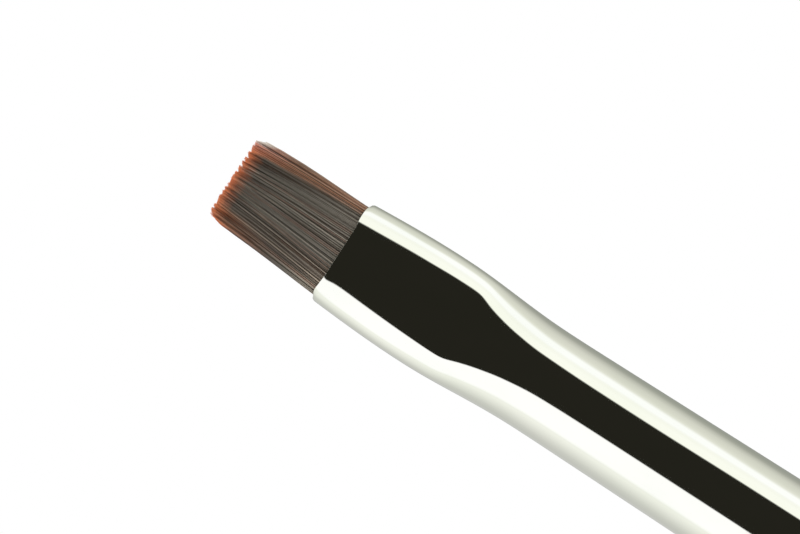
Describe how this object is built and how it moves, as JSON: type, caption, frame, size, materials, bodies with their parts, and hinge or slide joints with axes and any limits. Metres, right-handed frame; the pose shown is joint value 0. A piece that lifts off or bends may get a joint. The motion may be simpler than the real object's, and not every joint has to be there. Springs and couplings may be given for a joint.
{
  "type": "nail art brush",
  "caption": "Flat nail art brush: springy dark hair in a polished metal ferrule pressed flat at the mouth, on a slim turned lacquered handle.",
  "frame": {"origin": "on the brush's axis at the handle's belly, where the fingers hold it", "axes": "+Z along the brush towards the hair tip; -Y and +Y are the outward normals of the ferrule's two flats; X runs across the flats"},
  "size_m": [0.0074, 0.0074, 0.1731],
  "materials": {
    "nickel": "bright nickel plate on brass, mirror polished",
    "hair": "fine synthetic filament, dark brown with reddish tapered tips",
    "thread": "undyed binding thread",
    "resin": "clear amber epoxy",
    "lacquered_wood": "dark stained wood under gloss lacquer"
  },
  "bodies": {
    "brush": {"ferrule": "nickel", "hair_root": "hair", "tuft_tie": "thread", "root_resin": "resin", "tenon_glue": "resin", "handle": "lacquered_wood"},
    "tuft": {"hair_tuft": "hair"}
  },
  "joints": [
    {"name": "tuft_bend", "type": "hinge", "parent": "brush", "child": "tuft", "pos_m": [0, 0, 0.06], "axis": [1, 0, 0], "range_deg": [-25, 25], "stiffness_Nm_per_rad": 0.005}
  ]
}
